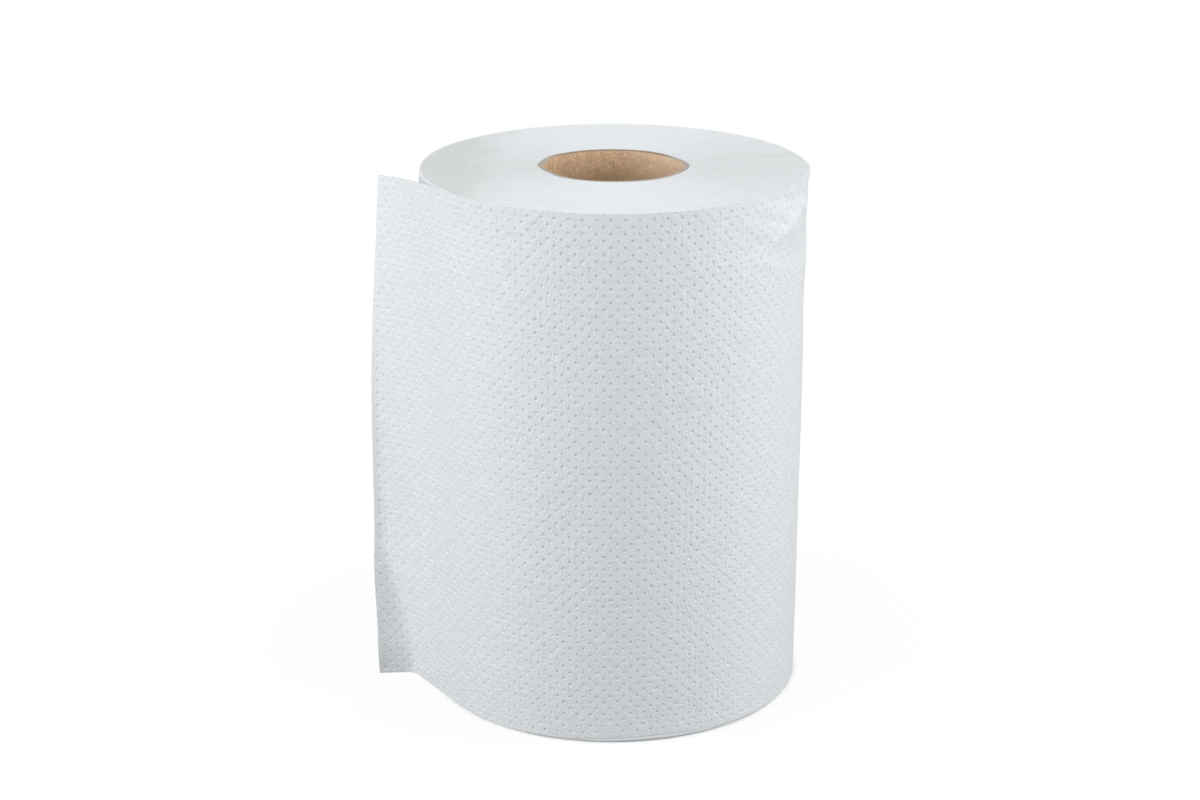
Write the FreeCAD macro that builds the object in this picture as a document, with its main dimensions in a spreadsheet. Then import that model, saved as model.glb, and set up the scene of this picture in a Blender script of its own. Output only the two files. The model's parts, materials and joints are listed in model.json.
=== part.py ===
"""Paper towel roll, standing on its end: one web of two-ply towel wound on a spiral-wound cardboard core.

Frame: millimetres, +Z up the roll's axis, origin on the axis in the plane that the roll stands on. The
view that shows the loose tail looks along +Y, with +X to the right, so the tail leaves the roll at its
front left.
"""

import FreeCAD, Part
import Sketcher
import math
import os
from FreeCAD import Vector

doc = FreeCAD.newDocument("towel_roll")

# The driving dimensions, in millimetres and degrees. Each is written once, here.
dims = doc.addObject("Spreadsheet::Sheet", "dims")
DRIVING = {
    "web_width": 200.0,        # width of the towel web, so height of the standing roll
    "roll_radius": 71.5,       # outside of the last turn where the tail leaves it
    "core_bore_radius": 25.4,  # a two inch core
    "core_wall": 1.9,          # wall of the core, all its plies together
    "ply_gap_width": 0.6,      # gap between the edges of the inner ply's winding strip
    "ply_gap_depth": 0.5,      # thickness of that inner ply
    "ply_gap_lead": 107.0,     # rise of the inner ply's seam in one turn
    "sheet_thickness": 0.35,   # the embossed web, both plies
    "turn_line_pitch": 6.4,    # spacing of the lines that the wound turns show on the ends
    "turn_line_width": 0.7,
    "turn_line_depth": 0.4,
    "turn_line_margin": 2.4,   # first line outside the core, and last line inside the rim
    "leave_angle": 213.0,      # where the tail leaves the roll, from +X, seen from above
    "root_length": 6.0,        # stretch of the tail that still lies against the turn below
    "tail_length": 45.0,       # loose tail from where it leaves the roll to its cut edge
}
# The tail's bend at each height: share of the web's width, then shares of the tail's length that stay flat
# and that bend, and the angle of the bend. The bottom corner is curled forward in a tight bend; higher up
# the tail only bows outwards.
TAIL_STATIONS = (
    ("foot", 0.0, 0.63, 0.10, 63.0),
    ("low", 0.2, 0.56, 0.20, 52.0),
    ("middle", 0.45, 0.44, 0.34, 33.0),
    ("high", 0.7, 0.40, 0.40, 21.5),
    ("head", 1.0, 0.36, 0.46, 6.5),
)


# Radius of the first turn line outside the core.
FIRST_LINE = "dims.core_bore_radius + dims.core_wall + dims.turn_line_margin"


def fill_sheet():
    """Writes every driving dimension into the sheet, one alias to a row."""
    rows = dict(DRIVING)
    for name, *values in TAIL_STATIONS:
        for what, value in zip(("height_share", "flat_share", "bend_share", "bend_angle"), values):
            rows[f"{name}_{what}"] = value
    for row, (alias, value) in enumerate(rows.items(), 1):
        dims.set(f"A{row}", alias)
        dims.set(f"B{row}", str(value))
        dims.setAlias(f"B{row}", alias)
    doc.recompute()


fill_sheet()


def size(alias):
    """A driving dimension's value, read from the sheet."""
    return float(dims.get(alias))


def new_body(label):
    body = doc.addObject("PartDesign::Body", label)
    body.Label = label
    return body


def origin_part(body, role):
    """The body's own origin plane or axis of that role."""
    return next(f for f in body.Origin.OriginFeatures if f.Role == role)


def new_sketch(body, name, plane, lift=None):
    """A sketch on one of the body's own planes, lifted off it by an expression."""
    sketch = body.newObject("Sketcher::SketchObject", name)
    sketch.AttachmentSupport = [(origin_part(body, plane), "")]
    sketch.MapMode = "FlatFace"
    if lift is not None:
        sketch.setExpression("AttachmentOffset.Base.z", lift)
    return sketch


def constrain(sketch, expression, *definition):
    """Adds a dimension to a sketch and ties it to an expression of the sheet's cells."""
    index = sketch.addConstraint(Sketcher.Constraint(*definition))
    sketch.setExpression(f"Constraints[{index}]", expression)
    return index


def relate(sketch, *definition):
    """Adds a relation between a sketch's elements that carries no dimension."""
    sketch.addConstraint(Sketcher.Constraint(*definition))


def outline(sketch, corners):
    """Closed outline of straight sides through the corners; side n starts at corner n."""
    ends = corners[1:] + corners[:1]
    sides = [sketch.addGeometry(Part.LineSegment(corner, end)) for corner, end in zip(corners, ends)]
    for one, other in zip(sides, sides[1:] + sides[:1]):
        relate(sketch, "Coincident", one, 2, other, 1)
    return sides


def direction(degrees):
    turn = math.radians(degrees)
    return Vector(math.cos(turn), math.sin(turn), 0)


def circle_sketch(body, name, plane, radii):
    """Concentric circles about the origin; radii maps each radius's expression to its present value."""
    sketch = new_sketch(body, name, plane)
    for expression, value in radii.items():
        ring = sketch.addGeometry(Part.Circle(Vector(), Vector(0, 0, 1), value))
        relate(sketch, "Coincident", ring, 3, -1, 1)
        constrain(sketch, expression, "Radius", ring, value)
    return sketch


def pad(body, name, sketch, length):
    feature = body.newObject("PartDesign::Pad", name)
    feature.Profile = sketch
    feature.setExpression("Length", length)
    return feature


def make_core():
    """The cardboard core: a knife-cut tube whose inner ply leaves a narrow helical gap at its seam."""
    body = new_body("cardboard_core")
    bore, wall = size("core_bore_radius"), size("core_wall")
    section = circle_sketch(body, "core_section", "XY_Plane", {
        "dims.core_bore_radius": bore,
        "dims.core_bore_radius + dims.core_wall": bore + wall,
    })
    pad(body, "core_tube", section, "dims.web_width")
    gap = new_sketch(body, "ply_gap_section", "XZ_Plane")
    width, depth = size("ply_gap_width"), size("ply_gap_depth")
    inner, outer = bore - depth, bore + depth
    corners = [Vector(inner, 0), Vector(inner, -width), Vector(outer, -width), Vector(outer, 0)]
    sides = outline(gap, corners)
    for side, way in zip(sides, ("Vertical", "Horizontal", "Vertical", "Horizontal")):
        relate(gap, way, side)
    relate(gap, "PointOnObject", sides[0], 1, -1)
    constrain(gap, "dims.core_bore_radius - dims.ply_gap_depth", "DistanceX", -1, 1, sides[0], 1, inner)
    constrain(gap, "2 * dims.ply_gap_depth", "Distance", sides[1], 2 * depth)
    constrain(gap, "dims.ply_gap_width", "Distance", sides[2], width)
    seam = body.newObject("PartDesign::SubtractiveHelix", "ply_gap")
    seam.Profile = gap
    seam.ReferenceAxis = (origin_part(body, "Z_Axis"), [""])
    seam.Mode = "pitch-height-angle"
    seam.setExpression("Pitch", "dims.ply_gap_lead")
    seam.setExpression("Height", "dims.web_width + dims.ply_gap_width * 2")
    return body


def roll_section(body):
    """The roll in plan: two half turns of slightly different radius make the last turn a spiral that ends
    in a step of one sheet's thickness. From the line where it leaves the roll the web runs on straight, as
    the root of the tail, and the step's face closes the outline down to the turn below."""
    radius, sheet = size("roll_radius"), size("sheet_thickness")
    leave, root = size("leave_angle"), size("root_length")
    outer_wall = size("core_bore_radius") + size("core_wall")
    outward, onward, up = direction(leave), direction(leave - 90), Vector(0, 0, 1)
    half_turn = math.pi
    begin = math.radians(leave)
    under_radius = radius - sheet / 2
    under_reach = math.sqrt(under_radius ** 2 - root ** 2)
    step_foot = outward * (under_reach - sheet / 2) + onward * root
    tangent_point = outward * radius
    root_end = tangent_point + onward * root
    under_end = begin + 2 * half_turn - math.atan2(root, under_reach)
    sketch = new_sketch(body, "roll_section", "XY_Plane")
    over = sketch.addGeometry(Part.ArcOfCircle(Part.Circle(Vector(), up, radius), begin, begin + half_turn))
    under = sketch.addGeometry(Part.ArcOfCircle(
        Part.Circle(outward * (-sheet / 2), up, under_radius), begin + half_turn, under_end))
    step = sketch.addGeometry(Part.LineSegment(step_foot, root_end))
    run = sketch.addGeometry(Part.LineSegment(root_end, tangent_point))
    bore = sketch.addGeometry(Part.Circle(Vector(), up, outer_wall))
    relate(sketch, "Coincident", over, 3, -1, 1)
    relate(sketch, "Coincident", bore, 3, -1, 1)
    relate(sketch, "Tangent", over, 2, under, 1)
    relate(sketch, "Coincident", under, 2, step, 1)
    relate(sketch, "Coincident", step, 2, run, 1)
    relate(sketch, "Tangent", run, 2, over, 1)
    relate(sketch, "Perpendicular", step, run)
    relate(sketch, "Angle", over, half_turn)
    constrain(sketch, "dims.core_bore_radius + dims.core_wall", "Radius", bore, outer_wall)
    constrain(sketch, "dims.roll_radius", "Radius", over, radius)
    constrain(sketch, "dims.roll_radius - dims.sheet_thickness / 2", "Radius", under, under_radius)
    constrain(sketch, "dims.root_length", "Distance", run, root)
    constrain(sketch, "(dims.leave_angle + 90) * 1 deg", "Angle", run, begin + half_turn / 2)
    return sketch


def tail_section(body, name):
    """The tail in plan at one height: a flat run on from the root, a bend that turns it away from the roll,
    and a flat run out to the cut edge, one sheet thick. The sheet is equally long at every height."""
    radius, sheet, length = size("roll_radius"), size("sheet_thickness"), size("tail_length")
    leave, root, bend_angle = size("leave_angle"), size("root_length"), size(f"{name}_bend_angle")
    flat_run, bend_run = length * size(f"{name}_flat_share"), length * size(f"{name}_bend_share")
    bend_radius = bend_run / math.radians(bend_angle)
    outward, onward, up = direction(leave), direction(leave - 90), Vector(0, 0, 1)
    start = outward * radius + onward * root
    bend_start = outward * radius + onward * flat_run
    centre = bend_start + outward * bend_radius
    aside = direction(leave + bend_angle)
    bend_end = centre - aside * bend_radius
    tip = bend_end + direction(leave - 90 + bend_angle) * (length - flat_run - bend_run)
    span = math.radians(leave + 180), math.radians(leave + 180 + bend_angle)
    sketch = new_sketch(body, f"tail_{name}", "XY_Plane", f"dims.web_width * dims.{name}_height_share")
    front_run = sketch.addGeometry(Part.LineSegment(start, bend_start))
    front_bend = sketch.addGeometry(Part.ArcOfCircle(Part.Circle(centre, up, bend_radius), *span))
    front_end = sketch.addGeometry(Part.LineSegment(bend_end, tip))
    edge = sketch.addGeometry(Part.LineSegment(tip, tip - aside * sheet))
    back_end = sketch.addGeometry(Part.LineSegment(tip - aside * sheet, bend_end - aside * sheet))
    back_bend = sketch.addGeometry(Part.ArcOfCircle(Part.Circle(centre, up, bend_radius + sheet), *span))
    back_run = sketch.addGeometry(Part.LineSegment(bend_start - outward * sheet, start - outward * sheet))
    root_edge = sketch.addGeometry(Part.LineSegment(start - outward * sheet, start))
    relate(sketch, "Tangent", front_run, 2, front_bend, 1)
    relate(sketch, "Tangent", front_bend, 2, front_end, 1)
    relate(sketch, "Coincident", front_end, 2, edge, 1)
    relate(sketch, "Coincident", edge, 2, back_end, 1)
    relate(sketch, "Tangent", back_end, 2, back_bend, 2)
    relate(sketch, "Tangent", back_bend, 1, back_run, 1)
    relate(sketch, "Coincident", back_run, 2, root_edge, 1)
    relate(sketch, "Coincident", root_edge, 2, front_run, 1)
    relate(sketch, "Coincident", back_bend, 3, front_bend, 3)
    for run in (front_end, back_end):
        relate(sketch, "Perpendicular", edge, run)
    for run in (front_run, back_run):
        relate(sketch, "Perpendicular", root_edge, run)
    flat_length = f"dims.tail_length * dims.{name}_flat_share"
    bend_length = f"dims.tail_length * dims.{name}_bend_share"
    end_length = f"dims.tail_length * (1 - dims.{name}_flat_share - dims.{name}_bend_share)"
    cosine, sine = "cos(dims.leave_angle * 1 deg)", "sin(dims.leave_angle * 1 deg)"
    start_x = f"dims.roll_radius * {cosine} + dims.root_length * {sine}"
    start_y = f"dims.roll_radius * {sine} - dims.root_length * {cosine}"
    constrain(sketch, "dims.sheet_thickness", "Distance", edge, sheet)
    bend_size = f"{bend_length} / (dims.{name}_bend_angle * pi / 180)"
    constrain(sketch, bend_size, "Radius", front_bend, bend_radius)
    constrain(sketch, f"{flat_length} - dims.root_length", "Distance", front_run, flat_run - root)
    constrain(sketch, end_length, "Distance", front_end, length - flat_run - bend_run)
    turn = f"dims.{name}_bend_angle * 1 deg"
    constrain(sketch, turn, "Angle", front_run, 1, front_end, 1, span[1] - span[0])
    heading = "(dims.leave_angle - 90) * 1 deg"
    constrain(sketch, heading, "Angle", front_run, math.radians(leave - 90))
    constrain(sketch, start_x, "DistanceX", -1, 1, front_run, 1, start.x)
    constrain(sketch, start_y, "DistanceY", -1, 1, front_run, 1, start.y)
    return sketch


def turn_lines(body, name, level, dip, shift, way):
    """Half of the flat spiral that the wound turns show on one end: grooves of triangular section, a half
    turn each and one pitch apart, all about the same upright axis. The other half is shifted by half a pitch
    and runs the other way round, so that every groove ends where one of the other half begins. Level lifts
    the grooves to their end of the roll, and dip is the way into the roll from there, +1 up or -1 down."""
    first = size("core_bore_radius") + size("core_wall") + size("turn_line_margin")
    pitch, half_width, depth = size("turn_line_pitch"), size("turn_line_width") / 2, size("turn_line_depth")
    last = size("roll_radius") - size("turn_line_margin") - pitch
    sketch = new_sketch(body, f"{name}_section", "XZ_Plane")
    sketch.setExpression("AttachmentOffset.Base.x", f"dims.turn_line_pitch * {shift}")
    sketch.setExpression("AttachmentOffset.Base.y", level)
    grooves = []
    for turn in range(int((last - first) / pitch) + 1):
        radius = first + (turn + shift) * pitch
        lips = Vector(radius - half_width, 0), Vector(radius + half_width, 0)
        sides = outline(sketch, [lips[0], Vector(radius, dip * depth), lips[1]])
        relate(sketch, "PointOnObject", sides[0], 1, -1)
        relate(sketch, "PointOnObject", sides[2], 1, -1)
        relate(sketch, "Equal", sides[0], sides[1])
        place = f"{FIRST_LINE} + dims.turn_line_pitch * {turn + shift}"
        constrain(sketch, place, "DistanceX", -1, 1, sides[0], 2, radius)
        for side in (0, 2) if grooves else ():
            relate(sketch, "Equal", grooves[0][side], sides[side])
        grooves.append(sides)
    lip, bottom = (grooves[0][0], 1), (grooves[0][0], 2)
    upwards = [lip, bottom] if dip > 0 else [bottom, lip]
    constrain(sketch, "dims.turn_line_depth", "DistanceY", *upwards[0], *upwards[1], depth)
    constrain(sketch, "dims.turn_line_width", "Distance", grooves[0][2], 2 * half_width)
    cut = body.newObject("PartDesign::Groove", name)
    cut.Profile = sketch
    cut.ReferenceAxis = (sketch, ["V_Axis"])
    cut.Angle = 180
    cut.Reversed = way


def make_web():
    """The towel: its wound turns as one solid, the loose tail with its curled corner, and the turn lines."""
    body = new_body("towel_web")
    pad(body, "wound_turns", roll_section(body), "dims.web_width")
    stations = [tail_section(body, station[0]) for station in TAIL_STATIONS]
    tail = body.newObject("PartDesign::AdditiveLoft", "loose_tail")
    tail.Profile, tail.Sections = stations[0], stations[1:]
    for end, level, dip in (("head", "dims.web_width", -1), ("foot", "0", 1)):
        turn_lines(body, f"{end}_lines_front", level, dip, 0, False)
        turn_lines(body, f"{end}_lines_back", level, dip, 0.5, True)
    return body


def faults():
    """What would make a bad part: an object that failed, a loose sketch, a cut that took nothing away."""
    bad = {"Invalid", "Error"}
    found = [f"{item.Name}: {item.State}" for item in doc.Objects if bad & set(item.State)]
    for sketch in doc.findObjects("Sketcher::SketchObject"):
        if not sketch.FullyConstrained:
            found.append(f"{sketch.Name}: not fully constrained")
    for body in doc.findObjects("PartDesign::Body"):
        volume = None
        for feature in body.Group:
            if feature.isDerivedFrom("PartDesign::Feature"):
                cut = feature.TypeId.endswith("Groove") or "Subtractive" in feature.TypeId
                if feature.Shape.isNull() or not feature.Shape.isValid() or len(feature.Shape.Solids) != 1:
                    found.append(f"{feature.Name}: no single valid solid")
                elif volume is not None and (feature.Shape.Volume < volume) != cut:
                    found.append(f"{feature.Name}: changes the volume the wrong way")
                volume = feature.Shape.Volume
    return found


bodies = [make_core(), make_web()]
doc.recompute()
if faults():
    raise RuntimeError("; ".join(faults()))
os.makedirs("parts", exist_ok=True)
for body in bodies:
    volume, faces = round(body.Shape.Volume / 1000, 2), len(body.Shape.Faces)
    print(body.Label, volume, "cm3,", faces, "faces,", body.Shape.BoundBox)
    body.Shape.exportStep(f"parts/{body.Label}.step")
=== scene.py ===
# %% [markdown]
# # A roll of paper towel
# The roll stands on its end. It is made of two real pieces: a cardboard core, and one long sheet of
# embossed two-ply tissue wound on it. The sheet's last bit hangs off at the front left, and its lower
# corner has curled forward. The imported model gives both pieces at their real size. Here each gets a
# finer surface: the sheet's outer turn with its pressed dots, the cut ends of the turns under it, and
# the kraft tube. Every surface is worked out with numpy as a function of two parameters.

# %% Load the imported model
import json
import bpy
import numpy as np
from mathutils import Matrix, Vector


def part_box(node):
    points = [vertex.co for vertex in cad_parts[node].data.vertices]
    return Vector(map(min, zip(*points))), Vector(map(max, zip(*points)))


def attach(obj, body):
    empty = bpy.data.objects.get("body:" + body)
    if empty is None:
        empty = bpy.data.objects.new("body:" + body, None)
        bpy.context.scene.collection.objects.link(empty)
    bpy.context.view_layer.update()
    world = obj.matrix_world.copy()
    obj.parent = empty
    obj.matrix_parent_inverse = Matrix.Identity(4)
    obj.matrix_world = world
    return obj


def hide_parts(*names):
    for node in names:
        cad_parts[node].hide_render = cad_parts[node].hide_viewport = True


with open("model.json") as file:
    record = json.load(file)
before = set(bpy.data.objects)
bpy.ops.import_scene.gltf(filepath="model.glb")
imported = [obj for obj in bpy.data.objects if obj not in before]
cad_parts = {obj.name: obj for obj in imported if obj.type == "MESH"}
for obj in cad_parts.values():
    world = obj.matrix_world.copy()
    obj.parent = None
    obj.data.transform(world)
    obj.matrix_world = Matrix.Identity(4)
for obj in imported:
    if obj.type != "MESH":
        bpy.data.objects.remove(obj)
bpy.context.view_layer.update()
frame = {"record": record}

# %% [markdown]
# ## Sizes
# What the model already knows is read from it. The rest are the sheet's own sizes, in metres: its
# thickness, the length of the loose tail, the spacing and depth of the pressed dots. A towel's dots
# stand in a centred square pattern, so half their spacing is the step of the whole grid. Between the
# dots the paper puffs out a little.

# %% Sizes of the roll and of the sheet
MM = 0.001
mounts = {mount["name"]: mount for mount in frame["record"]["mounts"]}
BORE_RADIUS = mounts["core_bore"]["dims"]["r_mm"] * MM
CORE_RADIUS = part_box("cardboard_core")[1].x
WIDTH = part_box("cardboard_core")[1].z
ROLL_RADIUS = round(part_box("towel_web")[1].x, 4)
SHEET = 0.35 * MM
TURN_PITCH = 0.23 * MM  # thickness of one turn in the tight winding
LEAVE = np.radians(213)  # direction from the axis to the place where the tail leaves the roll
TAIL_LENGTH = 45 * MM
OVERLAP = 4 * MM
DOT_STEP = 2.45 * MM
DOT_RADIUS = 0.76 * MM
DOT_DEPTH = 0.76 * MM
BACK_DEPTH = 0.8 * DOT_DEPTH
PUFF = 0.03 * MM
print(f"roll {2 * ROLL_RADIUS / MM:.1f} mm across and {WIDTH / MM:.0f} mm wide,",
      f"bore {2 * BORE_RADIUS / MM:.1f} mm")

# %% [markdown]
# ## From arrays to pieces
# A mesh only needs its points and, for each face, the numbers of its corners. `make_piece` puts whole
# arrays into the mesh at once, which is much quicker than a loop over vertices. It also gives the piece
# its material, hides the node of the model that it stands for, and hangs it on the root body.


# %% Helpers for meshes
SMOOTH_LIMIT = np.radians(40)


def make_piece(name, points, faces, material, node, crisp=None):
    """A closed piece from points (n, 3) and a list of face arrays (m, corners). It is shaded smooth up to
    the limit, and the edges between two crisp points are sharp too."""
    mesh = bpy.data.meshes.new(name)
    corners = np.concatenate([block.ravel() for block in faces]).astype(np.int32)
    counts = np.concatenate([np.full(len(block), block.shape[1]) for block in faces])
    mesh.vertices.add(len(points))
    mesh.vertices.foreach_set("co", points.astype(np.float32).ravel())
    mesh.loops.add(len(corners))
    mesh.loops.foreach_set("vertex_index", corners)
    mesh.polygons.add(len(counts))
    mesh.polygons.foreach_set("loop_start", (np.cumsum(counts) - counts).astype(np.int32))
    mesh.update(calc_edges=True)
    mesh.polygons.foreach_set("use_smooth", np.ones(len(counts), bool))
    mesh.set_sharp_from_angle(angle=SMOOTH_LIMIT)
    if crisp is not None:
        ends, sharp = np.empty(2 * len(mesh.edges), np.int32), np.empty(len(mesh.edges), bool)
        mesh.edges.foreach_get("vertices", ends)
        mesh.edges.foreach_get("use_edge_sharp", sharp)
        mesh.edges.foreach_set("use_edge_sharp", sharp | crisp[ends].reshape(-1, 2).all(1))
    mesh.materials.append(material)
    piece = bpy.data.objects.new(name, mesh)
    bpy.context.scene.collection.objects.link(piece)
    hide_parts(node)
    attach(piece, "root")
    print(name, len(points), "points,", int((counts - 2).sum()), "triangles")
    return piece


def wrap_faces(count, along):
    """Quads of a closed profile carried round the axis: a grid that closes on itself both ways, in which
    point j of profile i has the number i * along + j."""
    i, j = np.meshgrid(np.arange(count), np.arange(along), indexing="ij")
    i_next, j_next = (i + 1) % count, (j + 1) % along
    quads = np.stack([i * along + j_next, i_next * along + j_next, i_next * along + j, i * along + j], -1)
    return quads.reshape(-1, 4)


def smooth_through(x, places, values):
    """A cubic curve through the values. On each stretch it takes the slopes at both ends from the values
    next to them."""
    places, values = np.asarray(places, float), np.asarray(values, float)
    slopes = np.gradient(values, places)
    k = np.clip(np.searchsorted(places, x) - 1, 0, len(places) - 2)
    step = places[k + 1] - places[k]
    t = np.clip((x - places[k]) / step, 0, 1)
    start = (1 + 2 * t) * (1 - t) ** 2 * values[k] + t * (1 - t) ** 2 * step * slopes[k]
    return start + t ** 2 * (3 - 2 * t) * values[k + 1] - t ** 2 * (1 - t) * step * slopes[k + 1]


def bump(x, centre, half_width):
    """A bell: one at the centre, falling to nothing at about twice the half width."""
    return np.exp(-((x - centre) / half_width) ** 2)


def degrees_from(angle, centre):
    """Degrees from the centre, in degrees, to an angle in radians, the short way round: -180 to 180."""
    return (np.degrees(angle) - centre + 180) % 360 - 180


def waves(seed, count, u, v, shortest, longest):
    """Sum of sine waves with random directions, phases and wavelengths between the two given. It runs
    from about -1 to 1."""
    draw = np.random.default_rng(seed)
    total = np.zeros(np.broadcast(u, v).shape)
    for _ in range(count):
        length = draw.uniform(shortest, longest)
        heading, phase = draw.uniform(0, np.pi), draw.uniform(0, 2 * np.pi)
        total += np.sin(2 * np.pi * (u * np.cos(heading) + v * np.sin(heading)) / length + phase)
    return total / np.sqrt(count * 2)


# %% [markdown]
# ## The sheet in plan
# Seen from above, the sheet is a line: round the roll, and then off along the tail. Any flat sheet
# that is bent without stretching is fixed by its heading, the direction it runs in at each distance
# along it. So the tail is drawn by its heading and not by points: straight on from the roll, then
# turned by two bends. A long shallow one bows it outwards, and a short sharp one is the crease of the
# curled corner, which runs up and out to the cut edge. The table gives both at ten heights.

# %% The sheet's middle line
TAIL_BENDS = np.array((
    # height, bow in degrees, run to the crease, crease in degrees
    (0, -1, 27.0, 62),
    (10, 8, 28.0, 60),
    (20, 17, 30.3, 57),
    (40, 29, 34.5, 48),
    (60, 28, 37.2, 42),
    (80, 28, 38.2, 39),
    (110, 26, 38.0, 34),
    (140, 22, 39.0, 22),
    (170, 14.5, 41.0, 8),
    (200, 6, 43.0, 0),
)) * (MM, 1, MM, 1)
BOW_START = 8 * MM
CREASE_WIDTH = 9 * MM
STEPS = 48
HEADING_STEPS = (np.arange(STEPS) + 0.5) / STEPS  # middles of the steps of the integral, as shares of the run


def ramp(share):
    """From 0 to 1 with level ends: the share less a sine wave over it."""
    share = np.clip(share, 0, 1)
    return share - np.sin(2 * np.pi * share) / (2 * np.pi)


def tail_heading(run, height):
    """Heading of the tail: straight on from the roll, plus the bow's ramp, plus the crease's ramp."""
    places = TAIL_BENDS[:, 0]
    bow, crease_run, crease = (smooth_through(height, places, TAIL_BENDS[:, k]) for k in (1, 2, 3))
    turned = bow * ramp((run - BOW_START) / (TAIL_LENGTH - BOW_START))
    turned = turned + crease * ramp((run - crease_run) / CREASE_WIDTH)
    return LEAVE - np.pi / 2 + np.radians(turned)


def sheet_face(run, height, relief):
    """Point of the sheet's outer face. Run is the distance along the sheet from where it leaves the roll,
    positive on the tail. On the roll the point lies on a spiral that loses one thickness in a turn. On the
    tail it is the integral of the heading: the run times the mean direction. Relief then moves it along
    the face's normal."""
    wound = np.maximum(-run, 0)
    turn = LEAVE + wound / ROLL_RADIUS
    radius = ROLL_RADIUS - SHEET * wound / (2 * np.pi * ROLL_RADIUS)
    loose = np.maximum(run, 0)
    headings = tail_heading(loose[..., None] * HEADING_STEPS, height[..., None])
    start_x, start_y = ROLL_RADIUS * np.cos(LEAVE), ROLL_RADIUS * np.sin(LEAVE)
    x = np.where(run > 0, start_x + loose * np.cos(headings).mean(-1), radius * np.cos(turn))
    y = np.where(run > 0, start_y + loose * np.sin(headings).mean(-1), radius * np.sin(turn))
    facing = np.where(run > 0, tail_heading(loose, height) + np.pi / 2, turn)
    return np.stack([x + relief * np.cos(facing), y + relief * np.sin(facing), height], -1)


# %% [markdown]
# ## How the sheet lies
# A wound towel is never a perfect cylinder. The sheet waves a little, it has a few soft dents on the
# right, it is crumpled and flared along the rim at the top right, and at the front its lower edge has
# crept up by about two millimetres, so that the next turn shows under it. All of these are heights
# above the plain surface, written as bells and waves of the two sheet coordinates.

# %% Waves, dents and creases of the sheet
LONG_WAVES, SHORT_WAVES, TAIL_WAVES = 0.12, 0.05, 0.5  # all in millimetres
DENTS = (
    # angle round the roll in degrees, then height, half width around, half width up and amount in millimetres
    (-2, 200, 14, 4, 1.0),
    (-4, 191, 10, 5, 0.25),
    (-4, 184, 9, 5, -0.3),
    (-4, 174, 10, 5, 0.1),
    (-4, 148, 12, 14, -0.4),
    (-3, 100, 26, 160, 0.4),
    (-172, 190, 14, 6, 1.0),
    (-30, 199, 22, 4, -0.1),
    (-26, 185, 17, 6, 0.8),
    (-28, 172, 16, 10, 0.3),
    (-46, 182, 8, 5, -0.5),
    (-14, 166, 9, 6, 0.5),
    (-140, 188, 14, 10, -0.4),
    (-150, 120, 18, 26, 0.4),
    (40, 60, 22, 30, -0.4),
    (120, 150, 24, 22, 0.5),
)
CREASES = (
    # angle and height of the start, angle and height of the end, half width, amount
    (-48, 194, -22, 184, 1.8, -0.4),
    (-40, 182, -14, 191, 1.7, 0.6),
    (-32, 176, -12, 171, 2.2, -0.25),
    (-46, 178, -30, 170, 2.2, 0.25),
    (-40, 198, -14, 193, 1.4, -0.5),
    (-26, 196, -10, 186, 1.6, 0.6),
    (-52, 190, -40, 180, 1.8, -0.3),
    (-34, 191, -24, 183, 1.3, 0.4),
    (-128, 192, -112, 186, 1.8, -0.2),
)
FLARES = (
    # angle round the roll, height of the edge, amount: the crept-up foot and the rim at the top right
    (-80, 0, 0.15),
    (-30, 200, 0.08),
)
FLARE_SPREAD, FLARE_HEIGHT = 24, 5  # degrees and millimetres
EDGE_LIFT = 2.4 * MM
LIFT_CENTRE, LIFT_SPREAD = -78, 26  # degrees
LIFT_POWER = 3
TAIL_SAG = 3.0 * MM
SAG_POWER_OUT, SAG_POWER_UP = 1.6, 3


def around(run):
    """Angle round the roll, in degrees from -180 to 180, of a place on the sheet."""
    return degrees_from(LEAVE - run / ROLL_RADIUS, 0)


def lie(run, height):
    """Height of the sheet above the plain surface: waves, dents, and creases. A dent is its amount times a
    bell around and a bell up. A crease is its amount times a bell across its line and a bell along it."""
    angle, level = around(run), height / MM
    relief = LONG_WAVES * waves(3, 12, run, height * 0.35, 18 * MM, 60 * MM)
    relief += SHORT_WAVES * waves(5, 12, run, height, 7 * MM, 15 * MM)
    on_roll = run <= 0
    arc = np.radians(1) * ROLL_RADIUS / MM
    for centre, middle, wide, tall, amount in DENTS:
        relief += on_roll * amount * bump((angle - centre) * arc, 0, wide) * bump(level, middle, tall)
    for start, low, end, high, wide, amount in CREASES:
        across, up = (end - start) * arc, high - low
        length = np.hypot(across, up)
        along = ((angle - start) * arc * across + (level - low) * up) / length
        aside = ((angle - start) * arc * up - (level - low) * across) / length
        relief += on_roll * amount * bump(aside, 0, wide) * bump(along, length / 2, length / 2)
    looseness = np.clip(run / TAIL_LENGTH, 0, 1)
    relief += TAIL_WAVES * looseness * waves(8, 6, run * 0.5, height, 60 * MM, 130 * MM)
    return relief * MM


def flare(run, height):
    """How far the sheet's edges stand off the turn below: for each flare a bell around times a bell up."""
    angle, level = around(run), height / MM
    off = [amount * bump(angle, centre, FLARE_SPREAD) * bump(level, edge, FLARE_HEIGHT)
           for centre, edge, amount in FLARES]
    return sum(off) * (run <= 0) * MM


def creep(run, height):
    """Height of a point after the lower edge has crept up at the front and the tail's top corner has sagged.
    The first is strongest at the foot and the second at the head, each by a power of the height."""
    lifted = EDGE_LIFT * bump(around(run), LIFT_CENTRE, LIFT_SPREAD) * (run <= 0)
    lifted = lifted * (1 - height / WIDTH) ** LIFT_POWER
    sagged = TAIL_SAG * np.clip(run / TAIL_LENGTH, 0, 1) ** SAG_POWER_OUT * (height / WIDTH) ** SAG_POWER_UP
    return height + lifted - sagged


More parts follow.
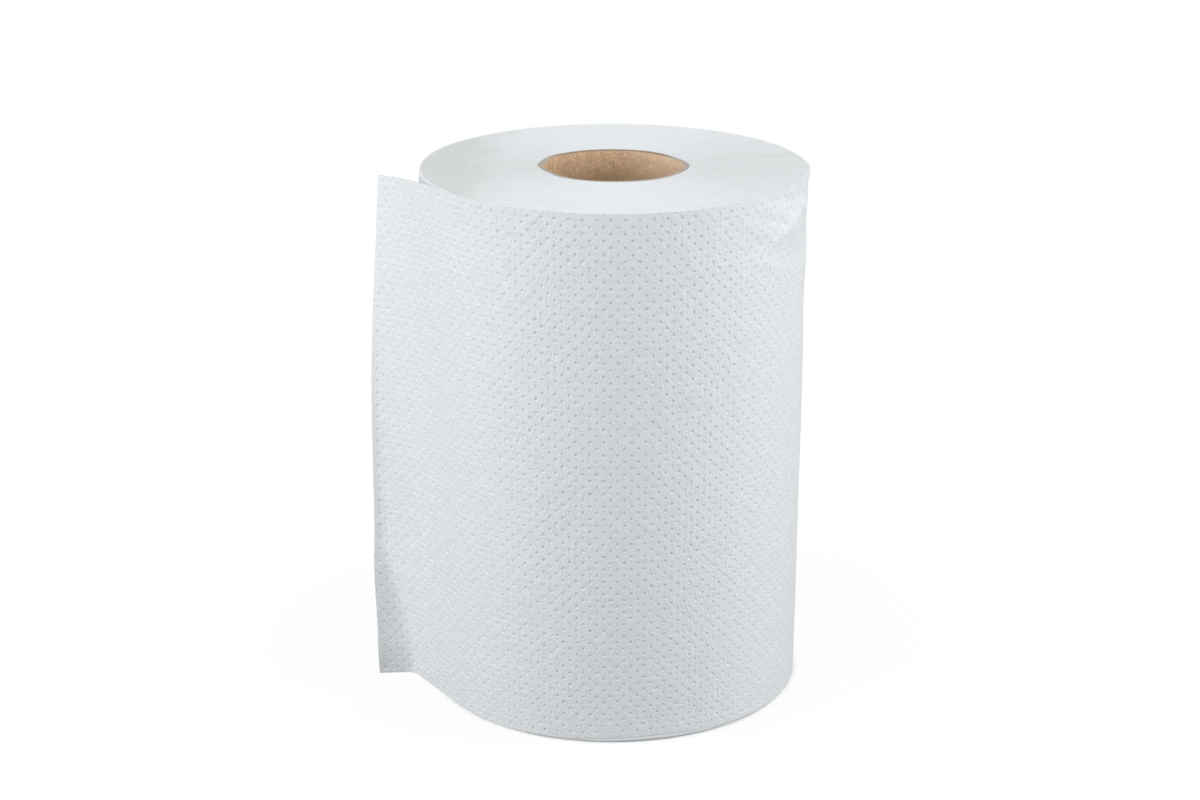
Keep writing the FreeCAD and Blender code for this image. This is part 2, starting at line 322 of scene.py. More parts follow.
# %% [markdown]
# ## The embossed sheet as a mesh
# The dots stand on a grid whose step is half their spacing, at every second grid point. Each dot has a
# deep middle point, a ring of eight points at its rim, and the four plain grid points around it. These
# diamonds fill the sheet without gaps, so the whole face is one array of the same twenty triangles.
# The back of the tail has the same dots standing out, and the sheet's cut edges close it all round. The
# dots are not all equally deep, and at the right they have been rubbed flatter.

# %% Grid of pressed dots
RING = 8
RING_ANGLES = 2 * np.pi * np.arange(RING) / RING
STEPS_ABOUT = np.array([(1, 0), (0, 1), (-1, 0), (0, -1)])


def dot_grid(columns, rows):
    """Grid places, dot rims and triangles of an embossed face with that many steps each way."""
    i, j = (part.ravel() for part in np.meshgrid(np.arange(columns + 1), np.arange(rows + 1), indexing="ij"))
    even = (i + j) % 2 == 0
    inside = (i > 0) & (i < columns) & (j > 0) & (j < rows)
    dots = np.flatnonzero(even & inside)
    around_dots = np.stack([dots + a * (rows + 1) + b for a, b in STEPS_ABOUT], -1)
    rims = len(i) + np.arange(len(dots))[:, None] * RING + np.arange(RING)
    cone = [np.stack([dots, rims[:, k], rims[:, (k + 1) % RING]], -1) for k in range(RING)]
    collar = []
    for c in range(4):
        corner, following = around_dots[:, c], around_dots[:, (c + 1) % 4]
        before, middle, after = rims[:, 2 * c - 1], rims[:, 2 * c], rims[:, 2 * c + 1]
        collar.append(np.stack([corner, middle, before], -1))
        collar.append(np.stack([corner, after, middle], -1))
        collar.append(np.stack([corner, following, after], -1))
    border = []
    for c in range(4):
        one, other = STEPS_ABOUT[c], STEPS_ABOUT[(c + 1) % 4]
        reach_i, reach_j = i + one[0] + other[0], j + one[1] + other[1]
        fits = (reach_i >= 0) & (reach_i <= columns) & (reach_j >= 0) & (reach_j <= rows)
        place = np.flatnonzero(even & ~inside & fits)
        border.append(np.stack([place, place + one @ (rows + 1, 1), place + other @ (rows + 1, 1)], -1))
    return i, j, dots, np.concatenate(cone + collar + border)


def is_rim(columns, rows, count):
    """Which of that many points of an embossed face lie on the rim of a dot: those after the grid's own."""
    return np.arange(count) >= (columns + 1) * (rows + 1)


# %% Points of one embossed face
ROWS = 2 * round(WIDTH / DOT_STEP / 2)
ROW_STEP = WIDTH / ROWS
USUAL_DEPTH, UNEVEN_DEPTH = 0.9, 0.16
RUBBED_DEPTH, RUBBED_CENTRE, RUBBED_SPREAD = 0.35, -12, 18


def embossed_face(columns, depth, puff, inward):
    """Run, height and point of every vertex of an embossed face that begins at the tail's cut edge, and its
    triangles. The dots are pressed in by depth, which varies; the paper between them puffs out; and inward
    moves the whole face into the sheet."""
    i, j, dots, triangles = dot_grid(columns, ROWS)
    run, height = TAIL_LENGTH - i * DOT_STEP, j * ROW_STEP
    strength = USUAL_DEPTH + UNEVEN_DEPTH * waves(11, 10, run[dots], height[dots], 12 * MM, 90 * MM)
    strength -= RUBBED_DEPTH * bump(around(run[dots]), RUBBED_CENTRE, RUBBED_SPREAD)
    relief = np.full(len(run), puff)
    relief[dots] = -depth * strength
    rim_run = (run[dots][:, None] - DOT_RADIUS * np.cos(RING_ANGLES)).ravel()
    rim_height = (height[dots][:, None] + DOT_RADIUS * np.sin(RING_ANGLES)).ravel()
    run, height = np.concatenate([run, rim_run]), np.concatenate([height, rim_height])
    relief = np.concatenate([relief, np.zeros(len(rim_run))]) - inward
    points = sheet_face(run, creep(run, height), relief + lie(run, height) + flare(run, height))
    return run, height, points, triangles


# %% [markdown]
# ## Closing the sheet
# Behind the tail the back face has its own dots. Where the sheet lies on the roll its back can't be
# seen, so a plain grid with one column in five is enough. It ends a little way under the lap. Rims
# along the foot, the head, the cut edge and the hidden end join the faces.

# %% The whole sheet
COARSE = 5
tail_columns = int(TAIL_LENGTH / DOT_STEP)
wound_columns = COARSE * round((2 * np.pi * ROLL_RADIUS + OVERLAP) / DOT_STEP / COARSE)
columns = tail_columns + wound_columns


def build_sheet():
    """Points, sheet coordinates, faces and crisp points of the closed sheet."""
    run, height, points, front = embossed_face(columns, DOT_DEPTH, PUFF, 0)
    back_run, back_height, back_points, back = embossed_face(tail_columns, BACK_DEPTH, 0, SHEET)
    row = np.arange(ROWS + 1)
    hidden_columns = np.arange(tail_columns + COARSE, columns + 1, COARSE)
    hidden_run = np.repeat(TAIL_LENGTH - hidden_columns * DOT_STEP, len(row))
    hidden_height = np.tile(row * ROW_STEP, len(hidden_columns))
    hidden_relief = lie(hidden_run, hidden_height) + flare(hidden_run, hidden_height) - SHEET
    hidden_points = sheet_face(hidden_run, creep(hidden_run, hidden_height), hidden_relief)
    first_hidden = len(points) + len(back_points)
    inner = [len(points) + c * (ROWS + 1) + row for c in range(tail_columns + 1)]
    inner += [first_hidden + c * (ROWS + 1) + row for c in range(wound_columns // COARSE)]
    faces = [front, len(points) + back[:, ::-1]]
    for near, far in zip(inner[tail_columns:], inner[tail_columns + 1:]):
        faces.append(np.stack([near[:-1], near[1:], far[1:], far[:-1]], -1))
    outer = [c * (ROWS + 1) + row for c in range(columns + 1)]
    for c in range(tail_columns):
        faces.append(np.array([[outer[c][0], inner[c][0], inner[c + 1][0], outer[c + 1][0]]]))
        faces.append(np.array([[outer[c][-1], outer[c + 1][-1], inner[c + 1][-1], inner[c][-1]]]))
    for k in range(wound_columns // COARSE):
        c = tail_columns + k * COARSE
        feet = [outer[c + step][0] for step in range(COARSE, -1, -1)]
        heads = [outer[c + step][-1] for step in range(COARSE + 1)]
        faces.append(np.array([feet + [inner[tail_columns + k][0], inner[tail_columns + k + 1][0]]]))
        faces.append(np.array([heads + [inner[tail_columns + k + 1][-1], inner[tail_columns + k][-1]]]))
    for end, order in ((0, 1), (-1, -1)):
        edge = np.stack([outer[end][:-1], outer[end][1:], inner[end][1:], inner[end][:-1]], -1)
        faces.append(edge[:, ::order])
    crisp = np.concatenate([is_rim(columns, ROWS, len(run)), is_rim(tail_columns, ROWS, len(back_run)),
                            np.zeros(len(hidden_run), bool)])
    run = np.concatenate([run, back_run, hidden_run])
    height = np.concatenate([height, back_height, hidden_height])
    return np.concatenate([points, back_points, hidden_points]), run, height, faces, crisp


# %% [markdown]
# ## Materials
# Tissue is a mat of white fibres with a fine crepe: hundreds of tiny ridges across the length of the
# sheet, which stand upright on a standing roll. Kraft board is brown and speckled. Both are fibre, so
# one node group makes the fibre's tone and height, and each material places it with its own numbers.


# %% Helpers for nodes
def add(tree, kind, settings=(), **values):
    """A new node. Settings are its own properties, and values go to the sockets of those names, or of those
    numbers if they are called _0, _1 and so on."""
    made = tree.nodes.new(kind)
    for name, value in dict(settings).items():
        setattr(made, name, value)
    for name, value in values.items():
        socket = made.inputs[int(name[1:])] if name[1:].isdigit() else made.inputs[name.replace("_", " ")]
        if isinstance(value, bpy.types.NodeSocket):
            tree.links.new(value, socket)
        else:
            socket.default_value = value
    return made


def work(tree, operation, *terms):
    """Output of a Math node."""
    sockets = {f"_{k}": term for k, term in enumerate(terms)}
    return add(tree, "ShaderNodeMath", {"operation": operation}, **sockets).outputs[0]


def vector_work(tree, operation, *terms):
    """Output of a Vector Math node: a number for a length or a distance, and else a vector."""
    sockets = {f"_{k}": term for k, term in enumerate(terms)}
    made = add(tree, "ShaderNodeVectorMath", {"operation": operation}, **sockets)
    return made.outputs["Value" if operation in ("LENGTH", "DISTANCE") else "Vector"]


def weigh(tree, share, one, other):
    """The share times one, plus the rest of the share times the other."""
    return work(tree, "ADD", work(tree, "MULTIPLY", one, share), work(tree, "MULTIPLY", other, 1 - share))


def remap(tree, value, low, high, first=0.0, last=1.0, kind="LINEAR"):
    """Output of a Map Range node: low becomes first, high becomes last, and nothing goes past them."""
    return add(tree, "ShaderNodeMapRange", {"interpolation_type": kind},
               _0=value, _1=low, _2=high, _3=first, _4=last).outputs[0]


def noise(tree, vector, scale, detail, roughness):
    """Output of a Noise Texture node. It runs from 0 to 1, but mostly stays near the middle."""
    return add(tree, "ShaderNodeTexNoise", Vector=vector, Scale=scale, Detail=detail,
               Roughness=roughness).outputs["Fac"]


def blend_colours(tree, share, low, high):
    """Output of a Mix node between two colours."""
    made = add(tree, "ShaderNodeMix", {"data_type": "RGBA"})
    tree.links.new(share, made.inputs[0])
    for socket, colour in ((made.inputs[6], low), (made.inputs[7], high)):
        if isinstance(colour, bpy.types.NodeSocket):
            tree.links.new(colour, socket)
        else:
            socket.default_value = (*colour, 1)
    return made.outputs[2]


def new_material(name, roughness, specular):
    """An empty material with its Principled shader, whose plain values are set on its own sockets."""
    material = bpy.data.materials.new(name)
    material.use_nodes = True
    tree = material.node_tree
    shader = tree.nodes["Principled BSDF"]
    shader.inputs["Roughness"].default_value = roughness
    shader.inputs["Specular IOR Level"].default_value = specular
    return material, tree, shader


# %% The fibre group
def fibre_group():
    """Tone, from 0 to 1, is 0.65 clouds and 0.35 ridges. Height is 0.7 ridges and 0.3 fibres."""
    tree = bpy.data.node_groups.new("paper_fibre", "ShaderNodeTree")
    for name, kind in (("Vector", "NodeSocketVector"), ("Cloud Scale", "NodeSocketFloat"),
                       ("Ridge Scale", "NodeSocketVector"), ("Fibre Scale", "NodeSocketFloat")):
        tree.interface.new_socket(name, in_out="INPUT", socket_type=kind)
    for name in ("Tone", "Height"):
        tree.interface.new_socket(name, in_out="OUTPUT", socket_type="NodeSocketFloat")
    given = add(tree, "NodeGroupInput")
    result = add(tree, "NodeGroupOutput")
    vector = given.outputs["Vector"]
    clouds = noise(tree, vector, given.outputs["Cloud Scale"], 3.0, 0.6)
    stretched = vector_work(tree, "MULTIPLY", vector, given.outputs["Ridge Scale"])
    ridges = noise(tree, stretched, 1.0, 2.0, 0.55)
    fibres = noise(tree, vector, given.outputs["Fibre Scale"], 1.0, 0.5)
    tone = weigh(tree, 0.65, clouds, ridges)
    height = weigh(tree, 0.7, ridges, fibres)
    tree.links.new(tone, result.inputs["Tone"])
    tree.links.new(height, result.inputs["Height"])
    return tree


paper_fibre = fibre_group()
print("group:", paper_fibre.name, [item.name for item in paper_fibre.interface.items_tree])


def fibre(tree, vector, cloud, ridge, fine):
    """The fibre group placed in a material; cloud, ridge and fine are counts to the metre."""
    placed = add(tree, "ShaderNodeGroup", {"node_tree": paper_fibre})
    tree.links.new(vector, placed.inputs["Vector"])
    placed.inputs["Cloud Scale"].default_value = cloud
    placed.inputs["Ridge Scale"].default_value = ridge
    placed.inputs["Fibre Scale"].default_value = fine
    return placed.outputs["Tone"], placed.outputs["Height"]


# %% [markdown]
# The sheet's pattern has to follow the sheet round the roll and along the tail, so it reads the
# sheet's own coordinates, kept in a UV map in metres. The crepe changes nearly twice as fast along the
# sheet as it does up the sheet, so its ridges stand upright. Shade is painted into the pressed dots:
# they are a little darker than the paper between them.

# %% Finish of the embossed sheet
MAP_SHIFT = 0.5  # metres, so that no place on the map is negative
TISSUE_DARK = (0.83, 0.86, 0.88)
# Next, the painted shade in the pits of the pressed dots.
TISSUE_PIT_SHADE = (0.66, 0.70, 0.73)
TISSUE_LIGHT = (0.88, 0.91, 0.925)
TISSUE_FIBRE = (260, (820, 460, 1), 1500)  # clouds, ridges along and up the sheet, fibres, all to the metre
TONE_LOW, TONE_HIGH = 0.35, 0.65  # the part of its range that the noise mostly stays in
CREPE_DEPTH = 0.55 * MM
PIT_SHADE_SHARE = 0.45
MASK_SHIFT = (100.5, 100.5, 0)
CELL_MIDDLE = (0.5, 0.5, 0)
MASK_FULL, MASK_END = 0.25, 0.75


def dot_mask(tree, place):
    """One in the middle of each pressed dot, nothing outside it. In steps of the grid the dots lie where
    the sum and the difference of both steps are even, so half of each is whole there. A shift by a whole
    number and a half then leaves a fraction of one half at each dot, and the distance from there, in
    doubled steps on the diagonal, is the way to the dot."""
    parts = add(tree, "ShaderNodeSeparateXYZ", _0=place).outputs
    across = work(tree, "DIVIDE", work(tree, "SUBTRACT", TAIL_LENGTH + MAP_SHIFT, parts[0]), 2 * DOT_STEP)
    up = work(tree, "DIVIDE", parts[1], 2 * ROW_STEP)
    both = add(tree, "ShaderNodeCombineXYZ", _0=work(tree, "ADD", across, up),
               _1=work(tree, "SUBTRACT", across, up)).outputs[0]
    rest = vector_work(tree, "FRACTION", vector_work(tree, "ADD", both, MASK_SHIFT))
    off = vector_work(tree, "DISTANCE", rest, CELL_MIDDLE)
    radius = DOT_RADIUS / DOT_STEP
    return remap(tree, off, MASK_FULL * radius, MASK_END * radius, 1.0, 0.0, "SMOOTHSTEP")


def towel_finish():
    """White tissue: its tone follows the fibre, painted shade in the dots is blended in by their share of the
    mask, and the crepe is a bump on the normal. A little sheen stands for the loose fibres."""
    material, tree, shader = new_material("embossed_tissue", 0.9, 0.25)
    place = add(tree, "ShaderNodeUVMap", {"uv_map": "sheet"}).outputs["UV"]
    tone, height = fibre(tree, place, *TISSUE_FIBRE)
    paper = blend_colours(tree, remap(tree, tone, TONE_LOW, TONE_HIGH), TISSUE_DARK, TISSUE_LIGHT)
    # Painted shade: the pressed dots are darkened by their share of the dot mask.
    pressed = work(tree, "MULTIPLY", dot_mask(tree, place), PIT_SHADE_SHARE)
    paper = blend_colours(tree, pressed, paper, TISSUE_PIT_SHADE)
    tree.links.new(paper, shader.inputs["Base Color"])
    crepe = add(tree, "ShaderNodeBump", Strength=1.0, Distance=CREPE_DEPTH, Height=height)
    tree.links.new(crepe.outputs["Normal"], shader.inputs["Normal"])
    shader.inputs["Sheen Weight"].default_value = 0.08
    shader.inputs["Sheen Roughness"].default_value = 0.6
    return material


# %% The sheet
points, run, height, faces, crisp = build_sheet()
outer_turn = make_piece("embossed_towel", points, faces, towel_finish(), "towel_web", crisp)
loops = np.empty(len(outer_turn.data.loops), np.int32)
outer_turn.data.loops.foreach_get("vertex_index", loops)
sheet_map = outer_turn.data.uv_layers.new(name="sheet")
sheet_map.data.foreach_set("uv", np.stack([run + MAP_SHIFT, height], -1)[loops].astype(np.float32).ravel())

# %% [markdown]
# ## The wound turns
# Under the outer turn are about 190 more. From the side they show only where the outer turn has crept
# up. From above their cut edges make the roll's head: a fine spiral of lines, some bundles of turns a
# hair higher than the next, and faint rays where the core's side has been squeezed. The body is a
# closed profile carried round the axis: out over the head, down the side and back under the foot,
# from where one long edge goes up along the core. At the front the lowest part of the side stands
# out again, close under the crept-up edge of the outer turn.

# %% Shape of the squeezed core
SQUEEZE = (
    # angle and spread in degrees, amount in millimetres
    (177, 9, 0.7),
    (-95, 48, -1.7),
    (-152, 18, -0.7),
    (146, 18, 0.9),
    (2, 18, 1.0),
    (38, 16, -0.4),
)


def core_squeeze(angle):
    """How far the core's wall stands out of its circle, as a sum of bells. It is drawn to a tip at the
    left, flat in front, full behind the tip and wide at the right."""
    out = [amount * bump(degrees_from(angle, centre), 0, spread) for centre, spread, amount in SQUEEZE]
    return sum(out) * MM


# %% Head and foot of the wound turns
BUNDLE = 1.1 * MM
ANGLES = 288
RINGS = 140
BUNDLE_LEVEL, BUNDLE_DIP, HEAD_SWELL, HEAD_RAYS = 0.05, 0.05, 0.10, 0.16  # all in millimetres
LEFT_SPREAD, RIGHT_SPREAD = 62, 34  # of the rays, in degrees
RIGHT_SHARE = 0.6  # how strong they are at the right, against the left
TURN_GAP = 0.02 * MM
HEAD_RECESS = 0.05 * MM
FOOT_RECESS = 0.05 * MM
ROUNDING = 0.06 * MM
ROUNDED_SHARE = 0.015
# Rows of the side, as shares of the way down: closer near the foot, where the bare turn shows.
SIDE_ROWS = np.concatenate([np.linspace(0, 0.97, 41)[1:], 0.982 + 0.002 * np.arange(9)])
SIDE_RECESS = 0.35 * MM
RECESS_END, RECESS_RAMP = 0.96, 0.03  # shares of the way down the side
BARE_EDGE = 0.4 * MM
BARE_SWELL = 0.33 * MM


def bundle_relief(radius, angle, seed):
    """Height of the cut edges. The bundle of turns that a point belongs to comes from a spiral: the way out
    from the core over the bundle's thickness, plus the share of a turn. Each bundle has its own height,
    which changes slowly along the web, and a dip on both sides. Long swells are added, and at the left and
    right rays that fade outwards."""
    spiral = (radius - CORE_RADIUS) / BUNDLE + angle / (2 * np.pi)
    turn = np.floor(spiral)
    wound = turn - angle / (2 * np.pi)
    level = BUNDLE_LEVEL * waves(seed, 9, wound, wound * 0, 0.7, 5.0)
    dip = -BUNDLE_DIP * (1 - np.sin(np.pi * (spiral - turn)))
    swell = HEAD_SWELL * waves(seed + 1, 8, radius * np.cos(angle), radius * np.sin(angle), 18 * MM, 60 * MM)
    share = np.clip((radius - CORE_RADIUS) / (ROLL_RADIUS - CORE_RADIUS), 0, 1)
    squeezed = bump(degrees_from(angle, 180), 0, LEFT_SPREAD)
    squeezed = squeezed + RIGHT_SHARE * bump(degrees_from(angle, 0), 0, RIGHT_SPREAD)
    rays = HEAD_RAYS * squeezed * (1 - share) ** 0.5 * waves(seed + 2, 9, angle, share * 0.25, 0.10, 0.4)
    return (level + dip + swell + rays) * MM


def build_turns():
    """Points and faces of the wound turns. The side lies under the outer turn by its thickness, a gap and a
    recess, and follows its waves. The recess ends near the foot, and below the crept-up edge the bare part
    stands out by a swell."""
    angle = 2 * np.pi * np.arange(ANGLES)[:, None] / ANGLES
    share = np.linspace(0, 1, RINGS)[None, :]
    back = (angle - LEAVE) % (2 * np.pi)
    run = -back * ROLL_RADIUS
    plain_rim = ROLL_RADIUS - SHEET * (1 + back / (2 * np.pi)) - TURN_GAP
    rim = plain_rim + lie(run, np.full_like(run, WIDTH))
    low_rim = plain_rim + lie(run, np.zeros_like(run))
    inner = CORE_RADIUS + core_squeeze(angle)
    radius, low_radius = (inner + (outer - inner) * share for outer in (rim, low_rim))
    edge = ROUNDING * (np.clip((share - 1 + ROUNDED_SHARE) / ROUNDED_SHARE, 0, 1) ** 2)
    head = WIDTH - HEAD_RECESS - edge + bundle_relief(radius, angle, 21)
    foot = FOOT_RECESS + edge + np.abs(bundle_relief(low_radius, angle, 31))
    side = SIDE_ROWS[None, :]
    side_height = head[:, -1:] + (foot[:, -1:] - head[:, -1:]) * side
    recess = SIDE_RECESS * np.clip(np.minimum(side, RECESS_END - side) / RECESS_RAMP, 0, 1)
    bare = creep(run, np.zeros_like(run)) - BARE_EDGE - side_height
    recess = recess - BARE_SWELL * np.clip(bare / BARE_EDGE, 0, 1)
    side_radius = plain_rim + lie(run + 0 * side, side_height) - recess
    radii = np.concatenate([radius, side_radius, low_radius[:, ::-1]], 1)
    heights = np.concatenate([head, side_height, foot[:, ::-1]], 1)
    points = np.stack([radii * np.cos(angle), radii * np.sin(angle), heights], -1)
    return points.reshape(-1, 3), [wrap_faces(ANGLES, radii.shape[1])]


# %% [markdown]
# The cut edges are too fine to model one by one, so the finish draws them: noise that changes quickly
# with the radius and slowly around it. The direction from the axis, and not the angle, goes into the
# noise, because the angle jumps at half a turn and would leave a seam. To the left and right shade is
# painted in: the edges are greyer, in streaks that run outwards, and darker in a mottled patch at the far
# left.

# %% Finish of the cut turns
EDGE_DARK = (0.79, 0.83, 0.855)
EDGE_LIGHT = (0.87, 0.905, 0.925)
# Painted shade: the greyer left and right sides, and a darker patch at the far left.
EDGE_SIDE_SHADE = (0.73, 0.755, 0.765)
EDGE_LEFT_SHADE = (0.60, 0.625, 0.62)
EDGE_FIBRE = (90, (1500, 1500, 1500), 3000)
FINE_LINES, COARSE_LINES, RAYS = (0.6 / TURN_PITCH, 5.0), (700, 3.0), (40, 26.0)  # to the metre, and around
RAY_WEAK, RAY_STRONG = 0.55, 1.2
# Size, raggedness and reach of the patch of painted shade at the far left:
LEFT_SHADE_SCALE, LEFT_SHADE_RAGGED = 60.0, 0.5
LEFT_SHADE_START, LEFT_SHADE_FULL = -0.75, -1.05  # shares of the roll's radius
MOTTLE_SCALE = 700.0
FUZZ_DEPTH = 0.1 * MM
LINE_DEPTH = 0.2 * MM


def position_in_plan(tree, position):
    """The position seen from above: its height set to nothing."""
    return vector_work(tree, "MULTIPLY", position, (1, 1, 0))


def polar_vector(tree, position, rings, around_count):
    """Coordinates for ring patterns: rings to the metre along the radius, and the direction from the axis."""
    flat = position_in_plan(tree, position)
    radius = vector_work(tree, "LENGTH", flat)
    parts = add(tree, "ShaderNodeSeparateXYZ", _0=vector_work(tree, "NORMALIZE", flat)).outputs
    x, y = (work(tree, "MULTIPLY", parts[k], around_count) for k in (0, 1))
    return add(tree, "ShaderNodeCombineXYZ", _0=x, _1=y, _2=work(tree, "MULTIPLY", radius, rings)).outputs[0]


def cut_edge_finish():
    """Matt cut edges, whose tone is 0.65 lines and 0.35 fibre. The share of the grey painted side shade is
    the square of x over the radius, times the rays. The painted shade at the far left comes in where x over
    the roll's radius, less a part of a noise, falls from its start to its full value."""
    material, tree, shader = new_material("cut_tissue_edges", 0.95, 0.2)
    position = add(tree, "ShaderNodeTexCoord").outputs["Object"]
    fine = noise(tree, polar_vector(tree, position, *FINE_LINES), 1.0, 3.0, 0.7)
    coarse = noise(tree, polar_vector(tree, position, *COARSE_LINES), 1.0, 2.0, 0.6)
    rays = noise(tree, polar_vector(tree, position, *RAYS), 1.0, 3.0, 0.55)
    lines = weigh(tree, 0.6, fine, coarse)
    tone, height = fibre(tree, position, *EDGE_FIBRE)
    spread = remap(tree, weigh(tree, 0.65, lines, tone), TONE_LOW, TONE_HIGH)
    paper = blend_colours(tree, spread, EDGE_DARK, EDGE_LIGHT)

    # Painted shade: greyer towards the left and right, in streaks.
    x = add(tree, "ShaderNodeSeparateXYZ", _0=position).outputs[0]
    aside = work(tree, "DIVIDE", x, vector_work(tree, "LENGTH", position_in_plan(tree, position)))
    streaked = remap(tree, rays, TONE_LOW, TONE_HIGH, RAY_WEAK, RAY_STRONG)
    side_shade = work(tree, "MULTIPLY", work(tree, "MULTIPLY", aside, aside), streaked)
    paper = blend_colours(tree, side_shade, paper, EDGE_SIDE_SHADE)

    # Painted shade: a darker mottled patch at the far left.
    ragged = work(tree, "MULTIPLY", noise(tree, position, LEFT_SHADE_SCALE, 3.0, 0.6), -LEFT_SHADE_RAGGED)
    reach = work(tree, "ADD", work(tree, "DIVIDE", x, ROLL_RADIUS), ragged)
    patch = remap(tree, reach, LEFT_SHADE_START, LEFT_SHADE_FULL, kind="SMOOTHSTEP")
    mottle = noise(tree, position, MOTTLE_SCALE, 1.0, 0.5)
    paper = blend_colours(tree, work(tree, "MULTIPLY", patch, mottle), paper, EDGE_LEFT_SHADE)
    tree.links.new(paper, shader.inputs["Base Color"])

    fuzz = add(tree, "ShaderNodeBump", Strength=0.4, Distance=FUZZ_DEPTH, Height=height)
    ridges = add(tree, "ShaderNodeBump", Strength=0.7, Distance=LINE_DEPTH, Height=lines,
                 Normal=fuzz.outputs["Normal"])
    tree.links.new(ridges.outputs["Normal"], shader.inputs["Normal"])
    return material


# %% The wound turns
points, faces = build_turns()
make_piece("wound_turns", points, faces, cut_edge_finish(), "towel_web")

# %% [markdown]
# ## The cardboard core
# The core is wound from strips of kraft board laid in a spiral and glued. Its rim shows the cut plies,
# greyed by the knife, and inside runs the seam between two edges of the innermost strip. The tube is a
# closed profile carried round the axis, with the same squeeze as the turns around it.

# %% Shape of the core
PLIES = 4
STEPS_IN_PLY = 6
CORE_ANGLES = 240
SIDE_STEPS = 59
RIM_INSET = 0.1 * MM
GLUE_DIP, GLUE_SPREAD = 0.16, 0.14  # millimetres, and a share of a ply
RIM_DROP, RIM_SPREAD = 0.25, 0.08  # millimetres, and a share of the wall
RIM_WEAR = 0.05  # millimetres


def build_core():
    """Points and faces of the core. Its profile is the rim, the outer side, the lower rim and the bore. The
    rim dips at each glue line between two plies, drops at both edges of the wall, and is a little worn."""
    angle = 2 * np.pi * np.arange(CORE_ANGLES)[:, None] / CORE_ANGLES
    share = np.linspace(0, 1, PLIES * STEPS_IN_PLY + 1)[None, :]
    wall = CORE_RADIUS - BORE_RADIUS
    rim_radius = BORE_RADIUS + wall * share
    glue = np.abs((share * PLIES + 0.5) % 1 - 0.5)
    worn = RIM_WEAR * waves(41, 9, angle * 30 * MM, share * wall * 4, 4 * MM, 30 * MM)
    edges = bump(share, 0, RIM_SPREAD) + bump(share, 1, RIM_SPREAD)
    rim = (-GLUE_DIP * bump(glue, 0, GLUE_SPREAD) - RIM_DROP * edges + worn) * MM
    side = np.linspace(0, 1, SIDE_STEPS + 1)[None, 1:-1]
    head, foot = WIDTH - RIM_INSET + rim, RIM_INSET - rim
    upright = np.zeros_like(side)
    radii = np.concatenate([rim_radius, CORE_RADIUS + upright, rim_radius[:, ::-1], BORE_RADIUS + upright], 1)
    down = head[:, -1:] + (foot[:, -1:] - head[:, -1:]) * side
    up = foot[:, :1] + (head[:, :1] - foot[:, :1]) * side
    heights = np.concatenate([head, down, foot[:, ::-1], up], 1)
    radii = radii + core_squeeze(angle)
    points = np.stack([radii * np.cos(angle), radii * np.sin(angle), heights], -1)
    return points.reshape(-1, 3), [wrap_faces(CORE_ANGLES, radii.shape[1])]


# %% [markdown]
# Kraft board is mid brown with darker and lighter flecks of fibre. Inside the bore shade is painted in,
# darker with the depth, and light is painted in at the right, which is paler. The cut rim is grey, with
# painted shade that turns it brown at the back: the finish changes over by height, near the rims. The
# seam inside is a thin dark line on a helix, found from the height and the angle.

# %% Finish of the core
KRAFT_DARK = (0.47, 0.305, 0.18)
KRAFT_LIGHT = (0.80, 0.58, 0.39)
# Painted shade deep in the bore, and painted light at the right:
KRAFT_DEPTH_SHADE = (0.40, 0.262, 0.167)
KRAFT_RIGHT_LIGHT = (0.85, 0.68, 0.50)
RIM_GREY = (0.46, 0.42, 0.37)
# Painted shade of the rim at the back:
RIM_BACK_SHADE = (0.33, 0.235, 0.17)
KRAFT_FIBRE = (420, (1300, 1300, 700), 2400)
FLECK_SCALE = 1500.0
KRAFT_LOW, KRAFT_HIGH = 0.38, 0.62
DEEP_START, DEEP_FULL, DEPTH_SHADE_SHARE = 3 * MM, 20 * MM, 0.97
RIGHT_LIGHT_SHARE = 0.5
SEAM_LEAD = 107 * MM
SEAM_WIDTH = 0.7 * MM
SEAM_SHADE = 0.55
WHOLE_TURNS = 10.0  # keeps the phase of the seam above nothing
RIM_START, RIM_FULL = 0.5 * MM, 0.25 * MM  # distances from the head and from the foot
BACK_START, BACK_FULL = 0.4, 0.8  # shares of the bore's radius


